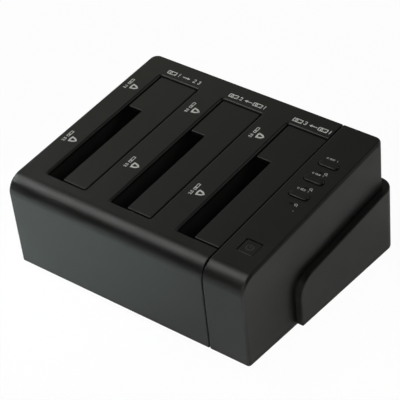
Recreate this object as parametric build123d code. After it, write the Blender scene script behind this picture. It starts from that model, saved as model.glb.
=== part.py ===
from build123d import *
import os
from math import cos, radians, sin, tan

# Three-bay drive duplicator. The deck frame has x from the first bay mouth's left edge,
# y from the mouths' front edge along the sloping top, and z up from the top surface.
# The floor frame has z up from the floor, with its origin under the middle of the object.

# Driving dimensions, in millimetres and degrees
bay_count = 3
bay_width = 28.7
bay_length = 104.0
bay_pitch = 44.45
left_margin = 15.2
panel_width = 26.05
front_margin = 15.4
rear_margin = 14.65
front_height = 59.0
tilt = 8.2
foot_height = 1.5
foot_radius = 5.0

wall = 2.2
front_radius = 10.0
corner_radius = 4.8
rim_radius = 1.6
mouth_corner = 1.0
mouth_inset = 0.8
lip_radius = 1.4
seam_gap = 0.4
seam_setback = 1.05
shell_seam_radius = 0.5
panel_seam_radius = 1.1
fit = 0.2
cut_margin = 20.0

plate_thickness = 4.6
plate_start = 27.6
plate_top = 33.1
plate_lift = 1.6
plate_near_radius = 11.0
plate_wrap = 12.0
plate_edge = 0.7
plinth_height = 0.7
plinth_inset = 0.6
peg_radius = 1.6
peg_drop = 12.0
peg_inset = 18.0

flap_drop = 0.9
flap_thickness = 1.8
flap_gap = 0.7
flap_back_gap = 0.3
flap_front_gap = 1.15
flap_hinge_gap = 0.85
flap_corner = 0.7
flap_edge = 0.6
notch_width = 11.1
notch_length = 71.75
flap_rib = 1.2

pin_radius = 1.0
pin_setback = 1.9
pin_drop = 4.3
pin_clearance = 0.05
knuckle_radius = 1.8
knuckle_length = 18.0
knuckle_inset = 6.0
knuckle_room = 0.3
spring_length = 8.0
spring_wire = 0.3
spring_leg = 6.0

well_wall = 1.4
well_floor = 1.8
well_flange = 2.4
post_radius = 2.6

board_thickness = 1.6
base_room = 9.0
well_room = 6.0
board_margin = 4.0

socket_length = 44.0
socket_width = 6.4
socket_rise = 6.0
socket_across = 4.6
socket_along = 31.0
slot_width = 1.5
slot_depth = 6.0
contact_pitch = 1.27
contact_width = 0.5
signal_contacts = 7
supply_contacts = 15
slot_gap_pitches = 2.5
chip_size = 14.0
chip_height = 1.4
chip_gap = 6.0
can_radius = 4.0
can_height = 9.0

key_across = 12.55
pill_length = 12.1
pill_width = 4.6
pill_rise = 0.8
pill_edge = 0.7
pill_pitch = 14.3
first_pill = 55.8
square_key = 9.8
square_along = 9.8
square_sink = 0.3
square_edge = 0.35
square_across = 13.25
key_clearance = 0.3
key_flange = 0.6
flange_thickness = 1.0
stem_radius = 1.9
stem_length = 1.8
plunger_radius = 1.6
plunger_length = 2.0
key_travel = 0.6
key_room = 0.4

switch_size = 6.0
switch_height = 3.6
lamp_length = 2.2
lamp_width = 0.9
lamp_offset = 7.3
lamp_sink = 0.15
panel_post_radius = 2.2
ribbon_width = 12.0
ribbon_thickness = 0.5
header_width = 4.0
header_height = 4.5

base_thickness = 2.2
base_clearance = 0.3
vent_width = 2.6
vent_length = 30.0
vent_pitch = 7.0
vent_count = 9
boss_radius = 3.4
boss_height = 15.0
boss_wall_gap = 2.8
screw_radius = 1.2
screw_head_radius = 2.6
screw_head_height = 1.5
board_screw_radius = 1.0
board_screw_head = 2.0
recess_width = 0.6
recess_depth = 0.7

usb_width = 12.0
usb_height = 11.0
usb_depth = 16.0
usb_metal = 0.5
usb_across = 38.0
jack_width = 9.0
jack_height = 11.0
jack_depth = 14.0
jack_bore = 3.1
jack_nose = 4.0
jack_pin = 1.05
jack_across = 66.0

# Places that follow from the driving dimensions
slope = radians(tilt)
deck_left = -left_margin
seam = (bay_count - 1) * bay_pitch + bay_width - seam_setback
deck_right = seam + panel_width
deck_front = -front_margin
deck_back = bay_length + rear_margin
back_height = front_height + (deck_back - deck_front) * tan(slope)
deep = back_height + cut_margin
bay_lefts = [index * bay_pitch for index in range(bay_count)]

front_reach = (deck_front + front_radius) * cos(slope) + front_radius * sin(slope) - front_radius
back_reach = deck_back * cos(slope) + back_height * sin(slope)
plate_back = deck_back + plate_thickness
plate_drop = front_height + (plate_back - deck_front) * tan(slope) - plate_lift / cos(slope)
plate_reach = plate_back * cos(slope) + plate_drop * sin(slope)
base_front = deck_front * cos(slope) + front_height * sin(slope)
deck_shift_x = -(deck_left + deck_right + plate_thickness) / 2
deck_shift_y = -(front_reach + plate_reach) / 2
deck_shift_z = foot_height + front_height * cos(slope) + front_margin * sin(slope)
deck = Location((deck_shift_x, deck_shift_y, deck_shift_z), (tilt, 0, 0))

under_top = -wall
board_screw_hole = board_screw_radius + fit / 2
board_drop = front_height - base_room
well_depth = board_drop - well_room
socket_top = well_depth - socket_rise
pin_across = bay_width + pin_setback
well_pocket = pin_across + knuckle_radius + knuckle_room
well_back = bay_length + fit
flap_underside = -flap_drop - flap_thickness
board_top = -board_drop
board_under = board_top - board_thickness
floor_under = -well_depth - well_floor
flange_top = under_top - fit
stem_top = flange_top - flange_thickness
plunger_top = stem_top - stem_length
switch_top = plunger_top - plunger_length / 2
panel_board_top = switch_top - switch_height
pill_places = [first_pill + index * pill_pitch for index in range(bay_count)]
pill_across = seam + key_across
start_across = seam + square_across

nodes = {}


def block(across, along, up):
    size = [end - start for start, end in (across, along, up)]
    middle = [(start + end) / 2 for start, end in (across, along, up)]
    return Pos(*middle) * Box(*size)


def post(across, along, low, high, radius):
    return Pos(across, along, (low + high) / 2) * Cylinder(radius, high - low)


def rod_along(across, up, start, end, radius):
    return Pos(across, (start + end) / 2, up) * Rot(90, 0, 0) * Cylinder(radius, end - start)


def rod_across(start, end, along, up, radius):
    return Pos((start + end) / 2, along, up) * Rot(0, 90, 0) * Cylinder(radius, end - start)


def on_deck(name, shape):
    nodes[name] = deck * shape


def on_floor(name, shape):
    nodes[name] = shape


def group(shapes):
    return Compound(children=list(shapes))


# Upright form over a plan, with the chosen ones of the plan's two back corners rounded
both_corners = slice(0, 2)
left_corner = slice(0, 1)
right_corner = slice(1, 2)


def plan_form(across, along, corners, radius, top):
    plan = Rectangle(across[1] - across[0], along[1] - along[0])
    back_corners = plan.vertices().group_by(Axis.Y)[-1].sort_by(Axis.X)
    plan = fillet(back_corners[corners], radius)
    return extrude(Pos(sum(across) / 2, sum(along) / 2, top) * plan, -deep)


# Part of the housing's form between two places across, moved in by an inset, with its rounded front edge
def section_form(across, inset, corners):
    along = (deck_front + inset, deck_back - inset)
    form = plan_form(across, along, corners, corner_radius - inset, -inset)
    front_edge = form.edges().filter_by(Axis.X).group_by(Axis.Z)[-1].sort_by(Axis.Y)[0]
    return fillet(front_edge, front_radius - inset)


def housing_form(inset):
    return section_form((deck_left + inset, deck_right - inset), inset, both_corners)


# Outside of one section, with its outer rim rounded and its edges at the seam eased
def rounded_section(across, corners, outer, seam_radius):
    form = section_form(across, 0, corners)
    outer_edges = form.faces().sort_by(Axis.X)[outer].edges()
    top_edges = form.faces().sort_by(Axis.Z)[-1].edges()
    rim = [outer_edges.filter_by(Axis.Z).sort_by(Axis.Y)[0], outer_edges.filter_by(GeomType.CIRCLE)[0],
           outer_edges.filter_by(Axis.Y).sort_by(Axis.Z)[-1], top_edges.filter_by(GeomType.CIRCLE)[0],
           top_edges.filter_by(Axis.X).sort_by(Axis.Y)[-1]]
    form = fillet(rim, rim_radius)
    seam_face = form.faces().sort_by(Axis.X)[-1 - outer]
    return fillet(seam_face.edges().sort_by(Axis.Z)[1:], seam_radius)


# Everything under a level above the floor, in the deck frame
def below_level(height):
    return deck.inverse() * Pos(0, 0, height - deep) * Box(4 * deep, 4 * deep, 2 * deep)


# Mouth of one bay, cut through the top; the last one is open towards the seam
def bay_mouth(left):
    near = left + mouth_inset
    far = left + bay_width - mouth_inset
    if left == bay_lefts[-1]:
        far = seam + mouth_corner + lip_radius
    outline = RectangleRounded(far - near, bay_length - 2 * mouth_inset, mouth_corner)
    return extrude(Pos((near + far) / 2, bay_length / 2, under_top - fit) * outline, wall + 2 * fit)


# Slab over the whole top with the mouths cut in it and their lips rounded
def mouth_slab():
    across = (deck_left - wall, deck_right + wall)
    along = (deck_front - wall, deck_back + wall)
    slab = block(across, along, (-2 * deep, 0))
    for left in bay_lefts:
        slab -= bay_mouth(left)
    mouths = slab.faces().sort_by(Axis.Z)[-1].inner_wires()
    return fillet([edge for mouth in mouths for edge in mouth.edges()], lip_radius)


# Upright screw bosses at one end of the base, with their pilot holes
boss_front = base_front + wall + boss_wall_gap + deck_shift_y
boss_back = back_reach - wall - boss_wall_gap - boss_height * tan(slope) + deck_shift_y
boss_left = deck_left + wall + boss_wall_gap + deck_shift_x
boss_right = deck_right - wall - boss_wall_gap + deck_shift_x


def base_bosses(across):
    low = foot_height + base_thickness
    solids = []
    holes = []
    for along in (boss_front, boss_back):
        solids.append(post(across, along, low, low + boss_height, boss_radius))
        holes.append(post(across, along, low, low + boss_height - wall, screw_radius + fit / 2))
    return deck.inverse() * Part(children=solids), deck.inverse() * Part(children=holes)


def rear_window(across, half_width, height):
    up = board_under - height / 2
    return block((across - half_width, across + half_width), (deck_back - 2 * wall, deck_back + wall),
                 (up - height / 2 - fit, up + height / 2 + fit))


seam_left = seam - seam_gap / 2
seam_right = seam + seam_gap / 2
inside = housing_form(wall)


def main_shell():
    outside = rounded_section((deck_left, seam_left), left_corner, 0, shell_seam_radius)
    bosses, pilots = base_bosses(boss_left)
    shell = (mouth_slab() & outside) - inside - below_level(foot_height)
    shell = shell + (bosses & outside) - pilots
    shell -= rear_window(usb_across, usb_width / 2 + fit, usb_height)
    jack_up = board_under - jack_height / 2
    shell -= rod_along(jack_across, jack_up, deck_back - 2 * wall, deck_back + wall, jack_nose + fit)
    return shell


# Pill outline of a power key and square outline of the start key
def pill_outline(grow):
    return SlotOverall(pill_length + 2 * grow, pill_width + 2 * grow)


def square_outline(grow):
    return RectangleRounded(square_key + 2 * grow, square_key + 2 * grow, mouth_corner)


def lamp_outline(grow):
    return Rectangle(lamp_length + 2 * grow, lamp_width + 2 * grow)


def upright(across, along, outline, low, high):
    return extrude(Pos(across, along, low) * outline, high - low)


lamp_places = [along - lamp_offset for along in pill_places]
panel_post_places = [(square_along + first_pill - lamp_offset) / 2, pill_places[-1] + pill_pitch * 2 / 3]


def control_housing():
    outside = rounded_section((seam_right, deck_right), right_corner, -1, panel_seam_radius)
    bosses, pilots = base_bosses(boss_right)
    housing = outside - inside - below_level(foot_height) + (bosses & outside) - pilots
    tongue_top = -front_radius - wall
    tongue_low = -front_height / 2
    front_face = deck_front + wall + fit
    back_face = deck_back - wall - fit
    for start, end in ((front_face, front_face + well_wall), (back_face - well_wall, back_face)):
        housing += block((seam - 2 * wall, seam + 2 * wall), (start, end), (tongue_low, tongue_top))
    root = (seam + wall / 2, seam + 2 * wall)
    housing += block(root, (deck_front + wall, front_face + well_wall), (tongue_low, tongue_top))
    housing += block(root, (back_face - well_wall, deck_back - wall), (tongue_low, tongue_top))
    for along in panel_post_places:
        housing += post(pill_across, along, panel_board_top, under_top, panel_post_radius)
        housing -= post(pill_across, along, panel_board_top, under_top - wall, board_screw_hole)
    low = under_top - fit
    for along in pill_places:
        housing -= upright(pill_across, along, pill_outline(key_clearance), low, fit)
    for along in lamp_places:
        housing -= upright(pill_across, along, lamp_outline(fit / 2), low, fit)
    housing -= upright(start_across, square_along, square_outline(key_clearance), low, fit)
    for along, up in peg_places:
        housing -= rod_across(deck_right - 2 * wall, deck_right + wall, along, up, peg_radius + fit / 2)
    return housing


# Raised side plate round the back corner, on a slightly smaller plinth, held by pegs
peg_up = -plate_top - peg_drop
peg_places = [(plate_start + peg_inset, peg_up), (deck_back - peg_inset, peg_up)]
plate_end = deck_right - plate_wrap


def plate_form(grow):
    across = (plate_end - plate_wrap, deck_right + grow)
    return plan_form(across, (deck_front, deck_back + grow), right_corner, corner_radius + grow, -wall)


def plate_window(inset):
    length = 2 * deck_back
    middle = Pos(plate_start + inset + length / 2, -plate_top - inset - deep / 2)
    outline = middle * Rectangle(length, deep)
    near_corner = outline.vertices().group_by(Axis.Y)[-1].sort_by(Axis.X)[0]
    outline = fillet(near_corner, plate_near_radius - inset)
    return extrude(Plane.YZ.offset(plate_end + inset) * outline, deep)


def plate_layer(inset, low, high):
    return (plate_form(high) - plate_form(low)) & plate_window(inset)


def side_plate():
    cap = plate_layer(0, plinth_height, plate_thickness)
    core = plate_form(plate_thickness - fit)
    outer = ShapeList(edge for edge in cap.edges() if not core.is_inside(edge @ 0.5))
    uprights = outer.filter_by(Axis.Z)
    rim = outer.filter_by(Axis.Z, reverse=True).filter_by_position(Axis.Z, -deep, -wall)
    rim += [uprights.sort_by(Axis.Y)[0], uprights.sort_by(Axis.X)[0]]
    cap = fillet(rim, plate_edge)
    plate = cap + plate_layer(plinth_inset, 0, plinth_height)
    for along, up in peg_places:
        plate += rod_across(deck_right - wall, deck_right, along, up, peg_radius)
    return plate - below_level(foot_height + plate_lift)


# Well that guides a drive down to its socket and carries the flap's hinge pin
post_places = [knuckle_inset + post_radius, bay_length - knuckle_inset - post_radius]


def bay_well(left):
    inner_left = left - fit
    inner_right = left + well_pocket
    across = (inner_left - well_wall, inner_right + well_wall)
    along = (-fit - well_wall, well_back + well_wall)
    well = block(across, along, (floor_under, under_top))
    flange_along = (along[0] - well_flange, along[1] + well_flange)
    well += block((across[0], left + bay_width - fit), flange_along, (under_top - well_wall, under_top))
    well -= block((inner_left, inner_right), (-fit, well_back), (-well_depth, under_top))
    key_floor = stem_top - key_travel - key_room
    well -= block((inner_right, across[1]), (-fit, well_back), (key_floor, under_top))
    well -= rod_along(left + pin_across, -pin_drop, *along, pin_radius + pin_clearance)
    half_length = socket_length / 2 + fit
    half_width = socket_width / 2 + fit
    socket_middle = left + socket_across
    well -= block((socket_middle - half_width, socket_middle + half_width),
                  (socket_along - half_length, socket_along + half_length), (floor_under, -well_depth))
    for along_post in post_places:
        well += post(left + bay_width / 2, along_post, board_top, floor_under, post_radius)
        hole_top = floor_under + well_floor / 2
        well -= post(left + bay_width / 2, along_post, board_top, hole_top, board_screw_hole)
    return well


def hinge_pin(left):
    return rod_along(left + pin_across, -pin_drop, -fit - well_wall, well_back + well_wall, pin_radius)


# Sprung flap: an L-shaped plate on two knuckles, reached by arms that pass under the mouth's edge
knuckle_starts = [knuckle_inset, bay_length - knuckle_inset - knuckle_length]


def bay_flap(left):
    near = left + mouth_inset + flap_gap
    notch = left + notch_width
    far = left + bay_width - mouth_inset - flap_hinge_gap
    start = mouth_inset + flap_front_gap
    end = bay_length - mouth_inset - flap_back_gap
    hinge_side = [(notch, start), (far, start), (far, end), (near, end)]
    notch_side = [(near, notch_length), (notch, notch_length)]
    outline = make_face(Polyline(*hinge_side, *notch_side, close=True))
    outline = fillet(outline.vertices(), flap_corner)
    lid = extrude(Pos(0, 0, flap_underside) * outline, flap_thickness)
    lid = fillet(lid.faces().sort_by(Axis.Z)[-1].edges(), flap_edge)
    rib_across = (notch + flap_thickness, far - knuckle_radius * 2)
    rib_up = (flap_underside - flap_rib, flap_underside)
    for along in (knuckle_inset + knuckle_length, bay_length - knuckle_inset - knuckle_length):
        lid += block(rib_across, (along, along + flap_thickness / 2), rib_up)
    axis_across = left + pin_across
    for start in knuckle_starts:
        span = (start, start + knuckle_length)
        lid += block((far - knuckle_radius, far), span, (-pin_drop - knuckle_radius / 2, flap_underside))
        lid += block((far - knuckle_radius, axis_across), span, (-pin_drop - knuckle_radius / 2,
                                                                 -pin_drop + knuckle_radius / 2))
        lid += rod_along(axis_across, -pin_drop, *span, knuckle_radius)
        lid -= rod_along(axis_across, -pin_drop, *span, pin_radius + pin_clearance)
    return lid


# Close-wound torsion spring round the first pin, one leg under the flap and one on the well's wall
def flap_spring():
    inner = pin_radius + pin_clearance * 3
    outer = inner + 2 * spring_wire
    start = (bay_length - spring_length) / 2
    turns = round(spring_length / (2 * spring_wire))
    pitch = spring_length / turns
    crests = [(outer, (turn + 0.5) * pitch) for turn in range(turns)]
    valleys = [(outer - spring_wire / 2, turn * pitch) for turn in range(turns + 1)]
    ridges = sorted(crests + valleys, key=lambda point: point[1])
    section = make_face(Polyline((inner, 0), *ridges, (inner, spring_length), close=True))
    coil = revolve(Plane.XZ * section, Axis.Z)
    coil = Pos(pin_across, start, -pin_drop) * Rot(-90, 0, 0) * coil
    bore = rod_along(pin_across, -pin_drop, start - fit, start + spring_length + fit, inner)
    leg_up = flap_underside - spring_wire - pin_clearance
    leg_along = start + pitch / 2
    coil += rod_across(pin_across - spring_leg, pin_across, leg_along, leg_up, spring_wire) - bore
    wall_leg = well_pocket - spring_wire - pin_clearance
    wall_along = start + spring_length - pitch / 2
    return coil + post(wall_leg, wall_along, -pin_drop - spring_leg, -pin_drop, spring_wire)


# Main board with its sockets, chips and rear connectors
board_left = -board_margin
board_right = pill_across + board_margin / 2
board_front = -board_margin * 2
board_back = deck_back - wall - fit


def main_board():
    board = block((board_left, board_right), (board_front, board_back), (board_under, board_top))
    for left in bay_lefts:
        for along in post_places:
            board -= post(left + bay_width / 2, along, board_under, board_top, board_screw_hole)
    return board


signal_length = signal_contacts * contact_pitch
supply_length = supply_contacts * contact_pitch
slot_gap = slot_gap_pitches * contact_pitch
contact_start = socket_along - (signal_length + slot_gap + supply_length) / 2
signal_places = [contact_start + (index + 0.5) * contact_pitch for index in range(signal_contacts)]
supply_start = contact_start + signal_length + slot_gap
supply_places = [supply_start + (index + 0.5) * contact_pitch for index in range(supply_contacts)]


# Combined receptacle with guide posts at its ends and one slot for signals, one for supply
def drive_socket(left):
    middle = left + socket_across
    half = socket_width / 2
    span = (socket_along - socket_length / 2, socket_along + socket_length / 2)
    body = block((middle - half, middle + half), span, (board_top, -socket_top))
    slot_up = (-socket_top - slot_depth, -socket_top + fit)
    for start, length in ((contact_start, signal_length), (supply_start, supply_length)):
        slot = (start - contact_pitch / 2, start + length + contact_pitch / 2)
        body -= block((middle - slot_width / 2, middle + slot_width / 2), slot, slot_up)
        key_end = (slot[0], slot[0] + slot_width)
        body -= block((middle - slot_width * 1.5, middle), key_end, slot_up)
    post_edges = body.edges().filter_by(Axis.Z).filter_by_position(Axis.Y, *span, inclusive=(True, True))
    outer_edges = post_edges.group_by(Axis.Y)[0] + post_edges.group_by(Axis.Y)[-1]
    return fillet(outer_edges, slot_width / 2)


def socket_contacts():
    blade_up = (-socket_top - slot_depth, -socket_top - slot_depth / 4)
    blades = []
    for left in bay_lefts:
        across = left + socket_across + slot_width / 2
        for along in signal_places + supply_places:
            span = (along - contact_width / 2, along + contact_width / 2)
            blades.append(block((across - contact_width, across), span, blade_up))
    return group(blades)


chip_along = socket_along + socket_length / 2 + chip_gap + chip_size / 2


def board_chips():
    chips = []
    for left in bay_lefts:
        middle = Pos(left + socket_across * 2, chip_along, board_top + chip_height / 2)
        chip = middle * Box(chip_size, chip_size, chip_height)
        chips.append(chamfer(chip.faces().sort_by(Axis.Z)[-1].edges(), chip_height / 4))
    return group(chips)


def board_capacitors():
    cans = []
    for index in range(bay_count):
        can = post(jack_across + jack_width + index * can_radius * 3, board_back - can_radius * 3,
                   board_under - can_height, board_under, can_radius)
        cans.append(chamfer(can.edges().filter_by(GeomType.CIRCLE).sort_by(Axis.Z)[0], can_radius / 6))
    return group(cans)


def usb_socket():
    half = usb_width / 2
    up = (board_under - usb_height, board_under)
    along = (deck_back - usb_depth, deck_back - fit)
    can = block((usb_across - half, usb_across + half), along, up)
    hollow_up = (up[0] + usb_metal, up[1] - usb_metal)
    return can - block((usb_across - half + usb_metal, usb_across + half - usb_metal),
                       (along[0] + usb_metal, deck_back + fit), hollow_up)


# Insulator of the socket: a back wall and the tongue in the middle of the opening
def usb_core():
    half = usb_width / 2 - usb_metal
    middle = board_under - usb_height / 2
    start = deck_back - usb_depth + usb_metal
    half_height = usb_height / 2 - usb_metal
    core = block((usb_across - half, usb_across + half), (start, start + usb_depth / 3),
                 (middle - half_height, middle + half_height))
    return core + block((usb_across - half / 2, usb_across + half / 2), (start, deck_back - wall / 2),
                        (middle - half_height / 3, middle + half_height / 3))


def power_jack():
    half = jack_width / 2
    middle = board_under - jack_height / 2
    inner_wall = deck_back - wall - fit
    jack = block((jack_across - half, jack_across + half), (deck_back - jack_depth, inner_wall),
                 (board_under - jack_height, board_under))
    jack += rod_along(jack_across, middle, inner_wall, deck_back - fit, jack_nose)
    bore_end = deck_back - jack_depth + wall
    jack -= rod_along(jack_across, middle, bore_end, deck_back, jack_bore)
    return jack + rod_along(jack_across, middle, bore_end, deck_back - wall, jack_pin)


# Control panel: keys with their plungers, switches, lamps and board
def keyed_cap(across, along, outline, top, edge):
    cap = upright(across, along, outline(0), stem_top, top)
    cap = fillet(cap.faces().sort_by(Axis.Z)[-1].edges(), edge)
    cap += upright(across, along, outline(key_flange), stem_top, flange_top)
    return cap + post(across, along, plunger_top, stem_top, stem_radius)


def switch_plunger(across, along):
    return post(across, along, plunger_top - plunger_length, plunger_top, plunger_radius)


key_places = [(pill_across, along) for along in pill_places] + [(start_across, square_along)]


def key_switches():
    outline = RectangleRounded(switch_size, switch_size, mouth_corner / 2)
    shaft_room = plunger_radius + fit / 2
    bore_low = plunger_top - plunger_length - key_travel - fit
    bodies = []
    for across, along in key_places:
        body = upright(across, along, outline, panel_board_top, switch_top)
        bodies.append(body - post(across, along, bore_low, switch_top, shaft_room))
    return group(bodies)


def status_lamps():
    pipes = []
    for along in lamp_places:
        pipe = upright(pill_across, along, lamp_outline(0), panel_board_top, -lamp_sink)
        foot = upright(pill_across, along, lamp_outline(lamp_width / 2), panel_board_top, flange_top)
        pipes.append(pipe + foot)
    return group(pipes)


panel_board_half = switch_size / 2 + panel_post_radius
panel_board_under = panel_board_top - board_thickness


def control_board():
    low = square_along - switch_size
    high = panel_post_places[-1] + panel_post_radius + fit
    across = (pill_across - panel_board_half, pill_across + panel_board_half)
    board = block(across, (low, high), (panel_board_under, panel_board_top))
    for along in panel_post_places:
        board -= post(pill_across, along, panel_board_under, panel_board_top, board_screw_hole)
    return board


# Flat ribbon from the control board straight down to the main board, with a header at each end
ribbon_along = sum(panel_post_places) / len(panel_post_places)


def panel_ribbon():
    half = ribbon_width / 2
    across = (pill_across - ribbon_thickness / 2, pill_across + ribbon_thickness / 2)
    up = (board_top + header_height, panel_board_under - header_height)
    return block(across, (ribbon_along - half, ribbon_along + half), up)


def ribbon_headers():
    half_length = ribbon_width / 2 + header_width / 4
    across = (pill_across - header_width / 2, pill_across + header_width / 2)
    along = (ribbon_along - half_length, ribbon_along + half_length)
    lower = block(across, along, (board_top, board_top + header_height))
    upper = block(across, along, (panel_board_under - header_height, panel_board_under))
    return group([lower, upper])


# Pan-head screw pointing up, its head under the seat
def screw(across, along, seat, radius, head_radius, length):
    head = post(across, along, seat - screw_head_height, seat, head_radius)
    head = chamfer(head.edges().filter_by(GeomType.CIRCLE).sort_by(Axis.Z)[0], screw_head_height / 4)
    groove = Box(head_radius, recess_width, 2 * recess_depth)
    head -= Pos(across, along, seat - screw_head_height) * (groove + Rot(0, 0, 90) * groove)
    return head + post(across, along, seat, seat + length, radius)


def board_screws():
    screws = []
    sizes = (board_screw_radius, board_screw_head)
    length = board_thickness + board_drop - well_depth - well_floor / 2 - fit
    for left in bay_lefts:
        for along in post_places:
            screws.append(screw(left + bay_width / 2, along, board_under, *sizes, length))
    length = under_top - wall - panel_board_under - fit
    for along in panel_post_places:
        screws.append(screw(pill_across, along, panel_board_under, *sizes, length))
    return group(screws)


# Base cover on the floor frame: a plate inside the walls with vents, feet and screws
boss_ends = (boss_left, boss_right)
screw_places = [(across, along) for across in boss_ends for along in (boss_front, boss_back)]
foot_inset = foot_radius + boss_radius * 2 + wall
foot_columns = (deck_left + foot_inset + deck_shift_x, deck_right - foot_inset + deck_shift_x)
foot_front = base_front + wall + foot_radius + fit + deck_shift_y
foot_back = back_reach - wall - foot_radius - boss_radius + deck_shift_y
foot_places = [(across, along) for across in foot_columns for along in (foot_front, foot_back)]
foot_recess = base_thickness / 3
head_seat = foot_height + screw_head_height + fit


def base_cover():
    slab = Pos(0, 0, foot_height + base_thickness / 2) * Box(4 * deep, 4 * deep, base_thickness)
    cover = (deck * housing_form(wall + base_clearance)) & slab
    middle = ((deck_left + deck_right) / 2 + deck_shift_x, (base_front + back_reach) / 2 + deck_shift_y)
    slot = SlotOverall(vent_length, vent_width, rotation=90)
    for place in GridLocations(vent_pitch, 0, vent_count, 1):
        cover -= extrude(Pos(*middle, foot_height) * place * slot, base_thickness)
    for place in foot_places:
        cover -= post(*place, foot_height, foot_height + foot_recess, foot_radius + fit / 2)
    for place in screw_places:
        cover -= post(*place, foot_height, head_seat, screw_head_radius + fit)
        cover -= post(*place, head_seat, foot_height + base_thickness, screw_radius + fit / 2)
    return cover


def feet():
    pads = []
    for place in foot_places:
        pad = post(*place, 0, foot_height + foot_recess, foot_radius)
        pads.append(chamfer(pad.edges().filter_by(GeomType.CIRCLE).sort_by(Axis.Z)[0], foot_height / 4))
    return group(pads)


def base_screws():
    sizes = (screw_radius, screw_head_radius, base_thickness + boss_height / 2)
    return group(screw(*place, head_seat, *sizes) for place in screw_places)


on_deck("main_shell", main_shell())
on_deck("control_housing", control_housing())
on_deck("side_plate", side_plate())
on_deck("main_board", main_board())
on_deck("socket_contacts", socket_contacts())
on_deck("board_chips", board_chips())
on_deck("board_capacitors", board_capacitors())
on_deck("usb_socket", usb_socket())
on_deck("usb_core", usb_core())
on_deck("power_jack", power_jack())
on_deck("control_board", control_board())
on_deck("key_switches", key_switches())
on_deck("status_lamps", status_lamps())
on_deck("board_screws", board_screws())
on_deck("panel_ribbon", panel_ribbon())
on_deck("ribbon_headers", ribbon_headers())
spring = flap_spring()
for number, left in enumerate(bay_lefts, start=1):
    on_deck(f"bay_well_{number}", bay_well(left))
    on_deck(f"hinge_pin_{number}", hinge_pin(left))
    on_deck(f"bay_flap_{number}", bay_flap(left))
    on_deck(f"flap_spring_{number}", Pos(left, 0, 0) * spring)
    on_deck(f"drive_socket_{number}", drive_socket(left))
# The key farthest back belongs to the first bay
for number, along in enumerate(reversed(pill_places), start=1):
    on_deck(f"power_key_{number}", keyed_cap(pill_across, along, pill_outline, pill_rise, pill_edge))
    on_deck(f"power_plunger_{number}", switch_plunger(pill_across, along))
on_deck("start_key", keyed_cap(start_across, square_along, square_outline, -square_sink, square_edge))
on_deck("start_plunger", switch_plunger(start_across, square_along))
on_floor("base_cover", base_cover())
on_floor("feet", feet())
on_floor("base_screws", base_screws())

os.makedirs("parts", exist_ok=True)
for name, shape in nodes.items():
    export_step(shape, f"parts/{name}.step")
print(len(nodes), "nodes written")
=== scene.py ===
import math

import bpy
from mathutils import Matrix, Vector


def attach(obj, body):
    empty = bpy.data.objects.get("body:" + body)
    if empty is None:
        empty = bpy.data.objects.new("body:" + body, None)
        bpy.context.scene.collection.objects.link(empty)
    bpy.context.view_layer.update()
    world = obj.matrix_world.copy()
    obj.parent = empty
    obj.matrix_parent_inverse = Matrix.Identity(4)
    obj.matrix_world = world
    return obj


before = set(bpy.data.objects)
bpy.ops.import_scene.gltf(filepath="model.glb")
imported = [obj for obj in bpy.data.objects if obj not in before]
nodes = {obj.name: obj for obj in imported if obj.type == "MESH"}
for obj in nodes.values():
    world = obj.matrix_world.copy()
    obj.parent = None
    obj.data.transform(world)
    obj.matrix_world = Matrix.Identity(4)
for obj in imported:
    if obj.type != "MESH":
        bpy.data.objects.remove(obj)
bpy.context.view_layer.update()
scene = bpy.context.scene
scene.view_settings.view_transform = "Standard"
print("stage 1: frame loaded with", len(nodes), "nodes")

# The sloping top: x across the bays, y along them, z out of the top, in metres
deckFrame = {"tilt": 8.2, "shift": (-0.066, -0.059553, 0.062093)}
deck = Matrix.Translation(deckFrame["shift"]) @ Matrix.Rotation(math.radians(deckFrame["tilt"]), 4, "X")
mm = 0.001

cameraSetup = {"place": (0.45079, -0.61143, 0.56159), "aim": (-0.49243, 0.66045, -0.56684),
               "lens": 148.97, "sensor": 36.0, "near": 0.01}


def addCamera():
    data = bpy.data.cameras.new("photoCamera")
    data.lens = cameraSetup["lens"]
    data.sensor_width = cameraSetup["sensor"]
    data.clip_start = cameraSetup["near"]
    camera = bpy.data.objects.new("photoCamera", data)
    camera.location = cameraSetup["place"]
    camera.rotation_euler = Vector(cameraSetup["aim"]).to_track_quat("-Z", "Y").to_euler()
    scene.collection.objects.link(camera)
    scene.camera = camera


addCamera()
print("stage 2: camera set")


# Node helpers: each input is linked where it is given a socket, and otherwise set to the value
def feed(tree, node, inputs):
    for key, value in inputs.items():
        if isinstance(value, bpy.types.NodeSocket):
            tree.links.new(value, node.inputs[key])
        else:
            node.inputs[key].default_value = value


def addNode(tree, kind, place, inputs=None, **settings):
    node = tree.nodes.new(kind)
    node.location = place
    for key, value in settings.items():
        setattr(node, key, value)
    feed(tree, node, inputs or {})
    return node


def addMath(tree, place, operation, first, second):
    return addNode(tree, "ShaderNodeMath", place, {0: first, 1: second}, operation=operation).outputs[0]


def addCut(tree, place, value, low, high):
    inputs = {"Value": value, "From Min": low, "From Max": high}
    return addNode(tree, "ShaderNodeMapRange", place, inputs).outputs["Result"]


def addRange(tree, place, value, low, high):
    inputs = {"Value": value, "To Min": low, "To Max": high}
    return addNode(tree, "ShaderNodeMapRange", place, inputs).outputs["Result"]


def addBlend(tree, place, factor, low, high):
    inputs = {"Factor": factor}
    for key, colour in (("A", low), ("B", high)):
        inputs[key] = (*colour, 1.0) if isinstance(colour, tuple) else colour
    return addNode(tree, "ShaderNodeMix", place, inputs, data_type="RGBA").outputs["Result"]


def addBump(tree, place, height, strength, depth):
    inputs = {"Strength": strength, "Distance": depth, "Height": height}
    return addNode(tree, "ShaderNodeBump", place, inputs).outputs["Normal"]


def addGroup(tree, place, group, inputs):
    return addNode(tree, "ShaderNodeGroup", place, inputs, node_tree=group).outputs


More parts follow.
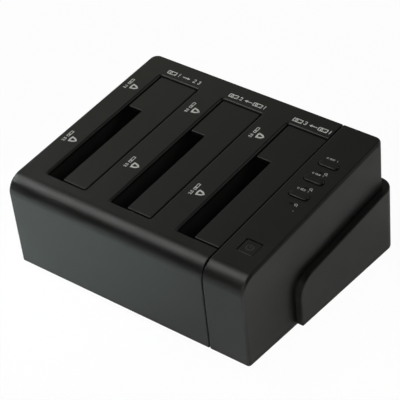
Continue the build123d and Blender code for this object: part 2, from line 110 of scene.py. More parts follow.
# A group takes a vector and the named inputs, and gives the named values
def newGroup(name, inputs, outputs):
    group = bpy.data.node_groups.new(name, "ShaderNodeTree")
    group.interface.new_socket(name="Vector", in_out="INPUT", socket_type="NodeSocketVector")
    for label, value in inputs.items():
        kind = "NodeSocketVector" if isinstance(value, tuple) else "NodeSocketFloat"
        group.interface.new_socket(name=label, in_out="INPUT", socket_type=kind).default_value = value
    for label in outputs:
        group.interface.new_socket(name=label, in_out="OUTPUT", socket_type="NodeSocketFloat")
    source = addNode(group, "NodeGroupInput", (-700, 0))
    sink = addNode(group, "NodeGroupOutput", (700, 0))
    return group, source.outputs, sink


# Spark-eroded grain of a mould: fine pits, a slower swell, and a cloudy mask for gloss
grainSetup = {"pitScale": 2600.0, "cloudScale": 45.0, "swell": 0.25, "fineDetail": 3.0, "cloudDetail": 5.0,
              "cloudRoughness": 0.6, "cloudRange": (0.3, 0.7)}


def buildMouldGrain():
    inputs = {"Pit Scale": grainSetup["pitScale"], "Cloud Scale": grainSetup["cloudScale"],
              "Swell": grainSetup["swell"]}
    group, source, sink = newGroup("mouldGrain", inputs, ("Height", "Cloud"))
    pitInputs = {"Vector": source["Vector"], "Scale": source["Pit Scale"]}
    pits = addNode(group, "ShaderNodeTexVoronoi", (-450, 180), pitInputs, feature="SMOOTH_F1")
    fine = addNode(group, "ShaderNodeTexNoise", (-450, -60), {**pitInputs, "Detail": grainSetup["fineDetail"]})
    cloud = addNode(group, "ShaderNodeTexNoise", (-450, -320), {
        "Vector": source["Vector"], "Scale": source["Cloud Scale"],
        "Detail": grainSetup["cloudDetail"], "Roughness": grainSetup["cloudRoughness"]})
    both = addMath(group, (-150, 120), "ADD", pits.outputs["Distance"], fine.outputs["Fac"])
    slow = addMath(group, (-150, -120), "MULTIPLY", cloud.outputs["Fac"], source["Swell"])
    feed(group, sink, {
        "Height": addMath(group, (150, 60), "ADD", both, slow),
        "Cloud": addCut(group, (150, -200), cloud.outputs["Fac"], *grainSetup["cloudRange"])})
    return group


# A little settled dust: specks that lie only where the surface looks up
dustSetup = {"scale": 900.0, "amount": 0.04, "detail": 2.0, "sparse": (0.62, 0.8), "upward": (0.5, 1.0),
             "tint": (0.3, 0.3, 0.28)}


def buildSettledDust():
    inputs = {"Scale": dustSetup["scale"], "Amount": dustSetup["amount"]}
    group, source, sink = newGroup("settledDust", inputs, ("Dust",))
    specks = addNode(group, "ShaderNodeTexNoise", (-450, 120), {
        "Vector": source["Vector"], "Scale": source["Scale"], "Detail": dustSetup["detail"]})
    sparse = addCut(group, (-200, 120), specks.outputs["Fac"], *dustSetup["sparse"])
    surface = addNode(group, "ShaderNodeNewGeometry", (-450, -160))
    split = addNode(group, "ShaderNodeSeparateXYZ", (-250, -160), {0: surface.outputs["Normal"]})
    upward = addCut(group, (-50, -160), split.outputs["Z"], *dustSetup["upward"])
    both = addMath(group, (150, 0), "MULTIPLY", sparse, upward)
    feed(group, sink, {"Dust": addMath(group, (350, 0), "MULTIPLY", both, source["Amount"])})
    return group


# Drawn or rolled metal: fine streaks along one direction over slow blotches
streakSetup = {"stretch": (3000.0, 3000.0, 120.0), "streakDetail": 4.0, "blotchScale": 400.0, "blotchDetail": 3.0}


def buildMetalStreaks():
    inputs = {"Stretch": streakSetup["stretch"], "Blotch Scale": streakSetup["blotchScale"]}
    group, source, sink = newGroup("metalStreaks", inputs, ("Streak", "Blotch"))
    drawn = addNode(group, "ShaderNodeVectorMath", (-450, 120), {0: source["Vector"], 1: source["Stretch"]},
                    operation="MULTIPLY")
    streak = addNode(group, "ShaderNodeTexNoise", (-200, 120), {
        "Vector": drawn.outputs["Vector"], "Scale": 1.0, "Detail": streakSetup["streakDetail"]})
    blotch = addNode(group, "ShaderNodeTexNoise", (-200, -160), {
        "Vector": source["Vector"], "Scale": source["Blotch Scale"], "Detail": streakSetup["blotchDetail"]})
    feed(group, sink, {"Streak": streak.outputs["Fac"], "Blotch": blotch.outputs["Fac"]})
    return group


mouldGrain = buildMouldGrain()
settledDust = buildSettledDust()
metalStreaks = buildMetalStreaks()


def startMaterial(name):
    material = bpy.data.materials.new(name)
    material.use_nodes = True
    tree = material.node_tree
    coords = addNode(tree, "ShaderNodeTexCoord", (-1100, 0))
    return material, tree, tree.nodes["Principled BSDF"], coords.outputs["Object"]


# Moulded plastic: grain in the bump, clouds in the gloss, dust on what faces up
def mouldedPlastic(name, look):
    material, tree, shader, place = startMaterial(name)
    grain = addGroup(tree, (-850, 120), mouldGrain, {
        "Vector": place, "Pit Scale": look["pitScale"], "Cloud Scale": look["cloudScale"]})
    dust = addGroup(tree, (-850, -160), settledDust, {"Vector": place, "Amount": look["dust"]})
    tint = addBlend(tree, (-550, 220), grain["Cloud"], look["dark"], look["pale"])
    feed(tree, shader, {
        "Base Color": addBlend(tree, (-300, 220), dust["Dust"], tint, dustSetup["tint"]),
        "Roughness": addRange(tree, (-550, -60), grain["Cloud"], *look["roughness"]),
        "Normal": addBump(tree, (-300, -260), grain["Height"], look["bump"], look["depth"])})
    return material


caseLook = {"dark": (0.0105, 0.0105, 0.0098), "pale": (0.013, 0.013, 0.012), "roughness": (0.33, 0.39),
            "pitScale": 2600.0, "cloudScale": 45.0, "bump": 0.12, "depth": 0.00005, "dust": 0.03}
flapLook = {"dark": (0.0105, 0.0105, 0.0098), "pale": (0.0125, 0.0125, 0.0115), "roughness": (0.35, 0.41),
            "pitScale": 2600.0, "cloudScale": 60.0, "bump": 0.12, "depth": 0.00005, "dust": 0.03}
wellLook = {"dark": (0.032, 0.032, 0.032), "pale": (0.042, 0.042, 0.04), "roughness": (0.45, 0.55),
            "pitScale": 1600.0, "cloudScale": 60.0, "bump": 0.25, "depth": 0.00008, "dust": 0.02}
baseLook = {"dark": (0.009, 0.009, 0.009), "pale": (0.012, 0.012, 0.0115), "roughness": (0.5, 0.6),
            "pitScale": 1300.0, "cloudScale": 50.0, "bump": 0.35, "depth": 0.0001, "dust": 0.0}
keyLook = {"dark": (0.0105, 0.0105, 0.0098), "pale": (0.0125, 0.0125, 0.0118), "roughness": (0.32, 0.38),
           "pitScale": 3200.0, "cloudScale": 90.0, "bump": 0.1, "depth": 0.00004, "dust": 0.02}
socketLook = {"dark": (0.012, 0.012, 0.013), "pale": (0.02, 0.02, 0.021), "roughness": (0.42, 0.55),
              "pitScale": 4000.0, "cloudScale": 700.0, "bump": 0.2, "depth": 0.00003, "dust": 0.0}
headerLook = {"dark": (0.55, 0.52, 0.44), "pale": (0.66, 0.64, 0.56), "roughness": (0.4, 0.5),
              "pitScale": 4000.0, "cloudScale": 500.0, "bump": 0.15, "depth": 0.00003, "dust": 0.0}
rubberLook = {"dark": (0.011, 0.011, 0.011), "pale": (0.019, 0.019, 0.018), "roughness": (0.75, 0.9),
              "pitScale": 1800.0, "cloudScale": 260.0, "bump": 0.5, "depth": 0.00008, "dust": 0.0}
casePlastic = mouldedPlastic("casePlastic", caseLook)
flapPlastic = mouldedPlastic("flapPlastic", flapLook)
wellPlastic = mouldedPlastic("wellPlastic", wellLook)
basePlastic = mouldedPlastic("basePlastic", baseLook)
keyPlastic = mouldedPlastic("keyPlastic", keyLook)
socketPlastic = mouldedPlastic("socketPlastic", socketLook)
headerPlastic = mouldedPlastic("headerPlastic", headerLook)
footRubber = mouldedPlastic("footRubber", rubberLook)
print("stage 3: moulded plastics made")


# Plated metal: blotches tint it and streaks break up its gloss
def platedMetal(name, look):
    material, tree, shader, place = startMaterial(name)
    streaks = addGroup(tree, (-850, 120), metalStreaks, {"Vector": place, "Stretch": look["stretch"]})
    feed(tree, shader, {
        "Metallic": 1.0,
        "Base Color": addBlend(tree, (-500, 220), streaks["Blotch"], look["dark"], look["pale"]),
        "Roughness": addRange(tree, (-500, -60), streaks["Streak"], *look["roughness"]),
        "Normal": addBump(tree, (-300, -260), streaks["Streak"], look["bump"], look["depth"])})
    return material


steelLook = {"dark": (0.42, 0.42, 0.43), "pale": (0.58, 0.58, 0.58), "roughness": (0.2, 0.42),
             "stretch": (3000.0, 150.0, 3000.0), "bump": 0.12, "depth": 0.00002}
screwLook = {"dark": (0.1, 0.1, 0.1), "pale": (0.2, 0.2, 0.2), "roughness": (0.3, 0.5),
             "stretch": (900.0, 900.0, 3000.0), "bump": 0.15, "depth": 0.00002}
goldLook = {"dark": (0.72, 0.5, 0.2), "pale": (0.86, 0.66, 0.32), "roughness": (0.15, 0.35),
            "stretch": (4000.0, 4000.0, 200.0), "bump": 0.1, "depth": 0.00002}
canLook = {"dark": (0.68, 0.68, 0.7), "pale": (0.8, 0.8, 0.82), "roughness": (0.22, 0.4),
           "stretch": (2500.0, 2500.0, 200.0), "bump": 0.12, "depth": 0.00002}
platedSteel = platedMetal("platedSteel", steelLook)
blackSteel = platedMetal("blackSteel", screwLook)
goldPlate = platedMetal("goldPlate", goldLook)
canMetal = platedMetal("canMetal", canLook)


# Solder mask: two crossed sets of traces, one or the other in each cell, over flat green
traceLook = {"mask": (0.008, 0.07, 0.03), "trace": (0.014, 0.13, 0.055), "bandScale": 260.0, "bandEdge": (0.55, 0.65),
             "cellScale": 90.0, "cellShare": 0.5, "roughness": (0.22, 0.34), "bump": 0.4, "depth": 0.00003}


def solderMask():
    material, tree, shader, place = startMaterial("solderMask")
    bands = []
    for direction, row in (("X", 260), ("Y", 0)):
        band = addNode(tree, "ShaderNodeTexWave", (-800, row), {"Vector": place, "Scale": traceLook["bandScale"]},
                       bands_direction=direction)
        bands.append(addCut(tree, (-600, row), band.outputs["Fac"], *traceLook["bandEdge"]))
    cells = addNode(tree, "ShaderNodeTexVoronoi", (-800, -260), {"Vector": place, "Scale": traceLook["cellScale"]},
                    distance="MANHATTAN")
    split = addNode(tree, "ShaderNodeSeparateXYZ", (-600, -260), {0: cells.outputs["Color"]})
    chosen = addMath(tree, (-400, -200), "GREATER_THAN", split.outputs["X"], traceLook["cellShare"])
    mixed = addNode(tree, "ShaderNodeMix", (-300, 150), {"Factor": chosen, "A": bands[0], "B": bands[1]},
                    data_type="FLOAT")
    trace = mixed.outputs["Result"]
    feed(tree, shader, {
        "Base Color": addBlend(tree, (-100, 220), trace, traceLook["mask"], traceLook["trace"]),
        "Roughness": addRange(tree, (-100, -40), trace, *traceLook["roughness"]),
        "Normal": addBump(tree, (-100, -260), trace, traceLook["bump"], traceLook["depth"])})
    return material


# Ribbon film with its row of conductors running down it
ribbonLook = {"film": (0.6, 0.6, 0.57), "wire": (0.42, 0.43, 0.42), "scale": 250.0, "roughness": (0.3, 0.42),
              "bump": 0.6, "depth": 0.0001}


def ribbonFilm():
    material, tree, shader, place = startMaterial("ribbonFilm")
    wave = addNode(tree, "ShaderNodeTexWave", (-800, 100), {"Vector": place, "Scale": ribbonLook["scale"]},
                   bands_direction="Y")
    wires = wave.outputs["Fac"]
    feed(tree, shader, {
        "Base Color": addBlend(tree, (-400, 220), wires, ribbonLook["film"], ribbonLook["wire"]),
        "Roughness": addRange(tree, (-400, -40), wires, *ribbonLook["roughness"]),
        "Normal": addBump(tree, (-400, -260), wires, ribbonLook["bump"], ribbonLook["depth"])})
    return material


# Smoked lamp window: near black, glossy, with a faint mottled depth
lampLook = {"deep": (0.004, 0.0045, 0.006), "smoke": (0.012, 0.013, 0.016), "cloudScale": 1200.0,
            "roughness": (0.1, 0.2), "coat": 0.5}


def smokedLamp():
    material, tree, shader, place = startMaterial("smokedLamp")
    grain = addGroup(tree, (-850, 120), mouldGrain, {"Vector": place, "Cloud Scale": lampLook["cloudScale"]})
    feed(tree, shader, {
        "Base Color": addBlend(tree, (-500, 220), grain["Cloud"], lampLook["deep"], lampLook["smoke"]),
        "Roughness": addRange(tree, (-500, -60), grain["Cloud"], *lampLook["roughness"]),
        "Coat Weight": lampLook["coat"]})
    return material


# Barrel jack: black moulding with a bright pin along its middle, told apart by the distance from its axis
jackLook = {"across": 66.0, "up": -57.1, "pin": 1.2, "dark": (0.012, 0.012, 0.012), "pale": (0.018, 0.018, 0.018),
            "metal": (0.6, 0.58, 0.53), "roughness": (0.45, 0.25), "bump": 0.15, "depth": 0.00004}


def jackPlastic():
    material, tree, shader, place = startMaterial("jackPlastic")
    middle = deck @ Vector((jackLook["across"] * mm, 0.0, jackLook["up"] * mm))
    turned = addNode(tree, "ShaderNodeMapping", (-900, 200), vector_type="TEXTURE")
    feed(tree, turned, {"Vector": place, "Location": middle,
                        "Rotation": (math.radians(deckFrame["tilt"]), 0.0, 0.0)})
    flat = addNode(tree, "ShaderNodeVectorMath", (-700, 200), {0: turned.outputs["Vector"], 1: (1.0, 0.0, 1.0)},
                   operation="MULTIPLY")
    reach = addNode(tree, "ShaderNodeVectorMath", (-500, 200), {0: flat.outputs["Vector"]}, operation="LENGTH")
    pin = addMath(tree, (-300, 200), "LESS_THAN", reach.outputs["Value"], jackLook["pin"] * mm)
    grain = addGroup(tree, (-900, -150), mouldGrain, {"Vector": place})
    black = addBlend(tree, (-500, -80), grain["Cloud"], jackLook["dark"], jackLook["pale"])
    feed(tree, shader, {
        "Base Color": addBlend(tree, (-200, 100), pin, black, jackLook["metal"]),
        "Metallic": pin,
        "Roughness": addRange(tree, (-200, -120), pin, *jackLook["roughness"]),
        "Normal": addBump(tree, (-200, -320), grain["Height"], jackLook["bump"], jackLook["depth"])})
    return material


greenBoard = solderMask()
paleRibbon = ribbonFilm()
darkLamp = smokedLamp()
blackJack = jackPlastic()
print("stage 4: metals, boards and small finishes made")


# Finishing a CAD node: its loose triangles are joined, sharp edges kept and the rest shaded smooth
finishSetup = {"weld": 0.000002, "sharpAngle": 40.0, "areaWeight": 100}


def finishNode(name, material):
    node = nodes[name]
    node.data.materials.clear()
    node.data.materials.append(material)
    for face in node.data.polygons:
        face.use_smooth = True
    weld = node.modifiers.new("joinTriangles", "WELD")
    weld.merge_threshold = finishSetup["weld"]
    crease = node.modifiers.new("keepSharp", "EDGE_SPLIT")
    crease.split_angle = math.radians(finishSetup["sharpAngle"])
    shade = node.modifiers.new("evenShading", "WEIGHTED_NORMAL")
    shade.weight = finishSetup["areaWeight"]


def three(stem):
    return [stem + "_" + str(number) for number in (1, 2, 3)]


nodeFinish = {
    casePlastic: ["main_shell", "control_housing", "side_plate"],
    flapPlastic: three("bay_flap"),
    wellPlastic: three("bay_well"),
    keyPlastic: three("power_key") + ["start_key"],
    basePlastic: ["base_cover"],
    socketPlastic: three("drive_socket") + three("power_plunger") + [
        "start_plunger", "usb_core", "board_chips", "key_switches"],
    headerPlastic: ["ribbon_headers"],
    footRubber: ["feet"],
    platedSteel: three("hinge_pin") + three("flap_spring") + ["usb_socket"],
    blackSteel: ["base_screws", "board_screws"],
    goldPlate: ["socket_contacts"],
    canMetal: ["board_capacitors"],
    greenBoard: ["main_board", "control_board"],
    paleRibbon: ["panel_ribbon"],
    darkLamp: ["status_lamps"],
    blackJack: ["power_jack"],
}
for material, names in nodeFinish.items():
    for name in names:
        finishNode(name, material)
unfinished = set(nodes) - {name for names in nodeFinish.values() for name in names}
print("stage 5: CAD nodes finished, left over:", sorted(unfinished))


# Printed marks: flat outlines cut from discs and panels, given the thickness of ink and laid on a face
inkLook = {"thin": (0.84, 0.86, 0.82), "full": (0.93, 0.95, 0.91), "roughness": (0.45, 0.6), "coverScale": 3500.0,
           "bump": 0.1, "depth": 0.00002}
dimLook = {"thin": (0.06, 0.06, 0.056), "full": (0.085, 0.085, 0.08), "roughness": (0.4, 0.5), "coverScale": 3500.0,
           "bump": 0.1, "depth": 0.00002}
filmSetup = {"thickness": 0.03, "lift": 0.004}  # millimetres, as all sizes of the print
capShare = 0.7  # height of a capital against the font's size
discCorners = {"ring": 40, "dot": 20, "speck": 16, "tip": 3}


def screenInk(name, look):
    material, tree, shader, place = startMaterial(name)
    grain = addGroup(tree, (-850, 120), mouldGrain, {"Vector": place, "Cloud Scale": look["coverScale"]})
    feed(tree, shader, {
        "Base Color": addBlend(tree, (-500, 220), grain["Cloud"], look["thin"], look["full"]),
        "Roughness": addRange(tree, (-500, -60), grain["Cloud"], *look["roughness"]),
        "Normal": addBump(tree, (-300, -260), grain["Height"], look["bump"], look["depth"])})
    return material


paleInk = screenInk("paleInk", inkLook)
dimInk = screenInk("dimInk", dimLook)


def onlySelect(pieces):
    bpy.ops.object.select_all(action="DESELECT")
    for piece in pieces:
        piece.select_set(True)
    bpy.context.view_layer.objects.active = pieces[0]


def openMesh():
    bpy.ops.object.mode_set(mode="EDIT")
    bpy.ops.mesh.select_all(action="SELECT")


def closeMesh(piece):
    bpy.ops.object.mode_set(mode="OBJECT")
    return piece


def stretch(piece, width, height):
    openMesh()
    bpy.ops.transform.resize(value=(width * mm, height * mm, 1.0), center_override=(0.0, 0.0, 0.0))
    return closeMesh(piece)


def newDisc(corners, width, height):
    bpy.ops.object.select_all(action="DESELECT")
    bpy.ops.mesh.primitive_circle_add(vertices=corners, radius=0.5, fill_type="NGON")
    return stretch(bpy.context.object, width, height)


def newPanel(width, height):
    bpy.ops.object.select_all(action="DESELECT")
    bpy.ops.mesh.primitive_plane_add(size=1.0)
    return stretch(bpy.context.object, width, height)


# Triangle with bulging sides: an open ring of edges, cut finer, drawn towards a circle and filled
def newPick(width, height, bulge):
    bpy.ops.object.select_all(action="DESELECT")
    bpy.ops.mesh.primitive_circle_add(vertices=3, radius=0.5, fill_type="NOTHING")
    piece = bpy.context.object
    openMesh()
    bpy.ops.mesh.subdivide(number_cuts=7)
    bpy.ops.transform.tosphere(value=bulge)
    bpy.ops.mesh.edge_face_add()
    return stretch(closeMesh(piece), width, height)


def roundCorners(piece, corner):
    openMesh()
    bpy.ops.mesh.bevel(offset=corner * mm, segments=3, affect="VERTICES")
    return closeMesh(piece)


def hollowOut(piece, stroke):
    openMesh()
    bpy.ops.mesh.inset(thickness=stroke * mm)
    bpy.ops.mesh.delete(type="FACE")
    return closeMesh(piece)


# Opens a ring at its top: the faces to go are marked outside edit mode
def cutGap(piece, halfAngle):
    bpy.ops.object.mode_set(mode="EDIT")
    bpy.ops.mesh.select_mode(type="FACE")
    bpy.ops.mesh.select_all(action="DESELECT")
    bpy.ops.object.mode_set(mode="OBJECT")
    for face in piece.data.polygons:
        face.select = abs(math.atan2(face.center.x, face.center.y)) < math.radians(halfAngle)
    bpy.ops.object.mode_set(mode="EDIT")
    bpy.ops.mesh.delete(type="FACE")
    bpy.ops.mesh.select_mode(type="VERT")
    return closeMesh(piece)


def newText(body, height, bold=0.0):
    bpy.ops.object.select_all(action="DESELECT")
    bpy.ops.object.text_add()
    piece = bpy.context.object
    piece.data.body = body
    piece.data.size = height * mm / capShare
    piece.data.offset = bold * mm
    piece.data.align_x = "CENTER"
    piece.data.align_y = "CENTER"
    bpy.ops.object.convert(target="MESH")
    return bpy.context.object


def shiftMark(piece, across, along=0.0, turn=0.0):
    onlySelect([piece])
    shift = Matrix.Translation((across * mm, along * mm, 0.0))
    piece.matrix_world = shift @ Matrix.Rotation(math.radians(turn), 4, "Z")
    bpy.ops.object.transform_apply(location=True, rotation=True, scale=True)
    return piece


def joinMarks(pieces):
    onlySelect(pieces)
    bpy.ops.object.join()
    return bpy.context.object


def copyMark(piece):
    onlySelect([piece])
    bpy.ops.object.duplicate()
    return bpy.context.object


# Gives a finished outline its thickness and lays it on a plane of the object
def layMark(piece, name, plane, body, ink):
    onlySelect([piece])
    film = piece.modifiers.new("inkFilm", "SOLIDIFY")
    film.thickness = filmSetup["thickness"] * mm
    film.offset = 1.0
    bpy.ops.object.modifier_apply(modifier="inkFilm")
    piece.matrix_world = plane @ Matrix.Translation((0.0, 0.0, filmSetup["lift"] * mm))
    bpy.ops.object.transform_apply(location=True, rotation=True, scale=True)
    piece.name = name
    piece.data.name = name
    piece.data.materials.append(ink)
    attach(piece, body)


def onTop(across, along, up=0.0):
    return deck @ Matrix.Translation((across * mm, along * mm, up * mm))


def ringMark(width, stroke):
    return hollowOut(newDisc(discCorners["ring"], width, width), stroke)


# Drive sign, in shares of its width, height and stroke
driveShares = {"corner": 0.14, "platter": 0.58, "platterStroke": 0.85, "platterAcross": -0.14,
               "lamp": 0.2, "lampAcross": 0.32, "lampAlong": -0.22}


def driveMark(width, height, stroke):
    case = hollowOut(roundCorners(newPanel(width, height), height * driveShares["corner"]), stroke)
    platter = ringMark(height * driveShares["platter"], stroke * driveShares["platterStroke"])
    shiftMark(platter, width * driveShares["platterAcross"])
    lamp = newDisc(discCorners["speck"], height * driveShares["lamp"], height * driveShares["lamp"])
    shiftMark(lamp, width * driveShares["lampAcross"], height * driveShares["lampAlong"])
    return joinMarks([case, platter, lamp])


# Arrow, its tip in shares of the head
tipShares = {"width": 1.2, "length": 1.33, "back": 0.67}


def arrowMark(length, stroke, head, turn):
    shaft = shiftMark(newPanel(length - head, stroke), -head / 2)
    tip = newDisc(discCorners["tip"], head * tipShares["width"], head * tipShares["length"])
    shiftMark(tip, length / 2 - head * tipShares["back"], 0.0, -90.0)
    return shiftMark(joinMarks([shaft, tip]), 0.0, 0.0, turn)


# Power sign, its bar in shares of the ring's width and stroke
powerShares = {"halfGap": 34.0, "bar": 0.52, "barCorner": 0.3, "barAlong": 0.27}


def powerMark(width, stroke):
    ring = cutGap(ringMark(width, stroke), powerShares["halfGap"])
    bar = roundCorners(newPanel(stroke, width * powerShares["bar"]), stroke * powerShares["barCorner"])
    shiftMark(bar, 0.0, width * powerShares["barAlong"])
    return joinMarks([ring, bar])


# Bay labels behind the mouths: a drive sign and its number, an arrow, and the numbers copied to or from
bayLabels = {
    "bayLabel1": {"across": 14.85, "along": 108.0, "number": "1", "turn": 0.0, "others": "2 3"},
    "bayLabel2": {"across": 58.75, "along": 108.0, "number": "2", "turn": 180.0, "others": "1"},
    "bayLabel3": {"across": 102.55, "along": 108.0, "number": "3", "turn": 180.0, "others": "1"},
}
labelSetup = {"drive": (6.2, 3.1), "stroke": 0.62, "number": 3.0, "bold": 0.1, "arrow": 5.4, "head": 2.0,
              "driveAt": -9.2, "numberAt": -4.0, "arrowAt": 1.0, "sourceAt": 7.4, "sourceNumberAt": 12.1,
              "targetsAt": 8.6}


def labelText(body, across):
    return shiftMark(newText(body, labelSetup["number"], labelSetup["bold"]), across)


def addBayLabels():
    drive = driveMark(*labelSetup["drive"], labelSetup["stroke"])
    for name, label in bayLabels.items():
        marks = [shiftMark(copyMark(drive), labelSetup["driveAt"])]
        marks.append(labelText(label["number"], labelSetup["numberAt"]))
        arrow = arrowMark(labelSetup["arrow"], labelSetup["stroke"], labelSetup["head"], label["turn"])
        marks.append(shiftMark(arrow, labelSetup["arrowAt"]))
        if label["others"] == "1":
            marks.append(shiftMark(copyMark(drive), labelSetup["sourceAt"]))
            marks.append(labelText(label["others"], labelSetup["sourceNumberAt"]))
        else:
            marks.append(labelText(label["others"], labelSetup["targetsAt"]))
        layMark(joinMarks(marks), name, onTop(label["across"], label["along"]), "housing", paleInk)
    bpy.data.objects.remove(drive)


# Pointers beside each mouth: an outlined triangle towards it, with the drive width in inches and a small drive sign
pointerSetup = {"lefts": (0.0, 44.3, 88.6), "rows": {"Front": ("2.5", 30.6), "Back": ("3.5", 86.1)}, "middle": -6.2,
                "size": (6.8, 7.0), "bulge": 0.45, "stroke": 1.1, "number": 1.75, "bold": 0.12, "print": -4.1,
                "numberAlong": -1.9, "driveAlong": 3.4, "drive": (5.2, 1.9), "line": 0.42}


def addPointers():
    for number, left in enumerate(pointerSetup["lefts"], start=1):
        for row, (inches, along) in pointerSetup["rows"].items():
            sign = hollowOut(newPick(*pointerSetup["size"], pointerSetup["bulge"]), pointerSetup["stroke"])
            marks = [shiftMark(sign, 0.0, 0.0, -90.0)]
            text = newText(inches, pointerSetup["number"], pointerSetup["bold"])
            marks.append(shiftMark(text, pointerSetup["print"], pointerSetup["numberAlong"], 90.0))
            drive = driveMark(*pointerSetup["drive"], pointerSetup["line"])
            marks.append(shiftMark(drive, pointerSetup["print"], pointerSetup["driveAlong"], 90.0))
            name = "pointer" + str(number) + row
            layMark(joinMarks(marks), name, onTop(left + pointerSetup["middle"], along), "housing", paleInk)


# Panel print: a power sign, a drive sign and a number behind each pill key
keyPrint = {"across": 128.4, "keys": {"1": 84.4, "2": 70.1, "3": 55.8}, "behind": 5.0, "stroke": 0.18,
            "power": 1.25, "powerAt": -3.1, "drive": (3.0, 1.15), "driveAt": -0.2, "number": 1.15, "numberAt": 3.1}
# A disc with its arm beside each lamp, a dot before them, and a power sign on the square key, which lies lower
lampPrint = {"across": 131.9, "along": -7.0, "ring": 1.8, "hub": 0.4, "stroke": 0.25, "arm": 0.9,
             "armPlace": (0.9, -0.9), "armTurn": -45.0}
dotPrint = {"place": (133.2, 44.0), "size": 0.55}
startPrint = {"place": (129.8, 9.8, -0.3), "size": 4.4, "stroke": 0.5}


def addPanelPrint():
    for number, along in keyPrint["keys"].items():
        marks = [shiftMark(powerMark(keyPrint["power"], keyPrint["stroke"]), keyPrint["powerAt"])]
        marks.append(shiftMark(driveMark(*keyPrint["drive"], keyPrint["stroke"]), keyPrint["driveAt"]))
        marks.append(shiftMark(newText(number, keyPrint["number"]), keyPrint["numberAt"]))
        plane = onTop(keyPrint["across"], along + keyPrint["behind"])
        layMark(joinMarks(marks), "keyLabel" + number, plane, "housing", paleInk)
        ring = ringMark(lampPrint["ring"], lampPrint["stroke"])
        hub = newDisc(discCorners["speck"], lampPrint["hub"], lampPrint["hub"])
        arm = newPanel(lampPrint["arm"], lampPrint["stroke"])
        shiftMark(arm, *lampPrint["armPlace"], lampPrint["armTurn"])
        plane = onTop(lampPrint["across"], along + lampPrint["along"])
        layMark(joinMarks([ring, hub, arm]), "lampSign" + number, plane, "housing", paleInk)
    dot = newDisc(discCorners["dot"], dotPrint["size"], dotPrint["size"])
    layMark(dot, "panelDot", onTop(*dotPrint["place"]), "housing", paleInk)
    start = powerMark(startPrint["size"], startPrint["stroke"])
    layMark(start, "startSign", onTop(*startPrint["place"]), "start_button", dimInk)


# Polarity sign over the power inlet, on the back: ringed minus and plus, leads given as length and place
polaritySign = {"across": 66.0, "back": 118.65, "up": -48.0, "stroke": 0.35, "ring": 2.6, "ringAt": 4.6, "bar": 1.3,
                "cup": 3.2, "cupHalfGap": 40.0, "dot": 1.1, "leads": ((1.7, -2.45), (2.75, 1.92))}


def addPolaritySign():
    stroke, bar, side = polaritySign["stroke"], polaritySign["bar"], polaritySign["ringAt"]
    marks = [shiftMark(ringMark(polaritySign["ring"], stroke), across) for across in (-side, side)]
    marks += [shiftMark(newPanel(bar, stroke), across) for across in (-side, side)]
    marks.append(shiftMark(newPanel(stroke, bar), side))
    cup = cutGap(ringMark(polaritySign["cup"], stroke), polaritySign["cupHalfGap"])
    marks.append(shiftMark(cup, 0.0, 0.0, -90.0))
    marks.append(newDisc(discCorners["dot"], polaritySign["dot"], polaritySign["dot"]))
    marks += [shiftMark(newPanel(length, stroke), across) for length, across in polaritySign["leads"]]
    facing = Matrix(((-1, 0, 0, 0), (0, 0, 1, 0), (0, 1, 0, 0), (0, 0, 0, 1)))  # upright when seen from behind
    plane = onTop(polaritySign["across"], polaritySign["back"], polaritySign["up"]) @ facing
    layMark(joinMarks(marks), "polaritySign", plane, "housing", paleInk)


addBayLabels()
addPointers()
addPanelPrint()
addPolaritySign()
print("stage 6: print laid on the housing and the square key")


# Stage: a plain pale floor, white to the camera and dim in reflections
stageSetup = {"floorSize": 0.9, "floorSink": 0.0002, "floorColour": (0.8, 0.8, 0.8), "roughness": 0.9, "shine": 0.1,
              "whiteForCamera": 0.97, "whiteForGloss": 0.135}
white = (1.0, 1.0, 1.0, 1.0)


# Rays that look at the backdrop, straight or through something clear
def addSeen(tree, place, rays):
    return addMath(tree, place, "MAXIMUM", rays["Is Camera Ray"], rays["Is Transmission Ray"])


def addFloor():
    bpy.ops.object.select_all(action="DESELECT")
    bpy.ops.mesh.primitive_plane_add(size=stageSetup["floorSize"], location=(0, 0, -stageSetup["floorSink"]))
    floor = bpy.context.object
    floor.name = "studioFloor"
    material = bpy.data.materials.new("paleFloor")
    material.use_nodes = True
    tree = material.node_tree
    shader = tree.nodes["Principled BSDF"]
    feed(tree, shader, {"Base Color": (*stageSetup["floorColour"], 1.0), "Roughness": stageSetup["roughness"],
                        "Specular IOR Level": stageSetup["shine"]})
    glow = addNode(tree, "ShaderNodeEmission", (0, -250), {"Color": white, "Strength": 1.0})
    rays = addNode(tree, "ShaderNodeLightPath", (-700, 300)).outputs
    seen = addSeen(tree, (-450, 300), rays)
    seenShare = addMath(tree, (-250, 300), "MULTIPLY", seen, stageSetup["whiteForCamera"])
    glossShare = addMath(tree, (-250, 100), "MULTIPLY", rays["Is Glossy Ray"], stageSetup["whiteForGloss"])
    share = addMath(tree, (-50, 200), "MAXIMUM", seenShare, glossShare)
    mixed = addNode(tree, "ShaderNodeMixShader", (250, 100), {
        "Fac": share, 1: shader.outputs["BSDF"], 2: glow.outputs["Emission"]})
    feed(tree, tree.nodes["Material Output"], {"Surface": mixed.outputs["Shader"]})
    floor.data.materials.append(material)


# Studio world: dim for the object and dimmer overhead, white behind it for the camera
worldSetup = {"horizon": 0.05, "zenith": 0.015, "whiteForCamera": 1.0}


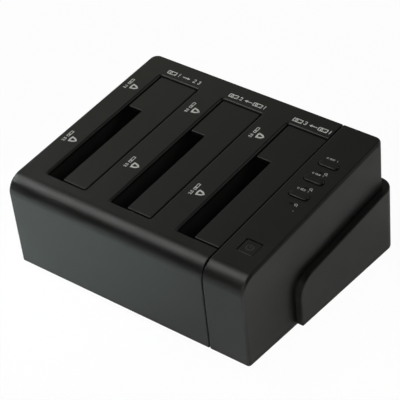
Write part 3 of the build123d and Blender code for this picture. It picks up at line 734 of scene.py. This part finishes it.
def addWorld():
    world = bpy.data.worlds.new("studioWorld")
    world.use_nodes = True
    scene.world = world
    tree = world.node_tree
    coords = addNode(tree, "ShaderNodeTexCoord", (-1000, 0))
    split = addNode(tree, "ShaderNodeSeparateXYZ", (-800, 0), {0: coords.outputs["Generated"]})
    rise = addRange(tree, (-600, 0), split.outputs["Z"], worldSetup["horizon"], worldSetup["zenith"])
    rays = addNode(tree, "ShaderNodeLightPath", (-600, 300)).outputs
    seen = addSeen(tree, (-400, 300), rays)
    level = addNode(tree, "ShaderNodeMix", (-200, 100), {
        "Factor": seen, "A": rise, "B": worldSetup["whiteForCamera"]}, data_type="FLOAT")
    feed(tree, tree.nodes["Background"], {"Color": white, "Strength": level.outputs["Result"]})


# Soft boxes: place, point aimed at, size, power, beam angle and colour
softBoxes = {
    "overheadBox": {"place": (-0.5, -0.345, 0.8), "aim": (-0.04, -0.05, 0.06), "size": (0.55, 0.8), "power": 1.6,
                    "beam": 120.0, "colour": (1.0, 1.0, 0.98)},
    "leftBounce": {"place": (-1.5, 1.1, 1.2), "aim": (0.0, 0.0, 0.06), "size": (1.2, 1.2), "power": 2.15,
                   "beam": 180.0, "colour": (1.0, 1.0, 0.88)},
    "frontPool": {"place": (-1.2, -0.12, 0.55), "aim": (-0.125, -0.104, 0.0), "size": (0.08, 0.08), "power": 0.14,
                  "beam": 10.5, "colour": (0.82, 1.0, 0.98)},
    "sidePool": {"place": (0.17, -1.2, 0.5), "aim": (0.17, -0.07, 0.0), "size": (0.08, 0.08), "power": 0.07,
                 "beam": 10.0, "colour": (1.0, 1.0, 0.93)},
    "frontFill": {"place": (0.9, -2.0, 1.3), "aim": (0.0, 0.0, 0.05), "size": (1.4, 1.0), "power": 5.0,
                  "beam": 180.0, "colour": (1.0, 1.0, 0.97)},
    "backFill": {"place": (0.9, 1.6, 1.0), "aim": (0.0, 0.05, 0.03), "size": (1.2, 1.0), "power": 5.0,
                 "beam": 180.0, "colour": (1.0, 1.0, 0.96)},
}


def addSoftBoxes():
    for name, box in softBoxes.items():
        data = bpy.data.lights.new(name, "AREA")
        data.shape = "RECTANGLE"
        data.size, data.size_y = box["size"]
        data.energy = box["power"]
        data.spread = math.radians(box["beam"])
        data.color = box["colour"]
        lamp = bpy.data.objects.new(name, data)
        lamp.location = box["place"]
        aim = Vector(box["aim"]) - Vector(box["place"])
        lamp.rotation_euler = aim.to_track_quat("-Z", "Y").to_euler()
        scene.collection.objects.link(lamp)


addFloor()
addWorld()
addSoftBoxes()
print("stage 7: floor, world and soft boxes set")
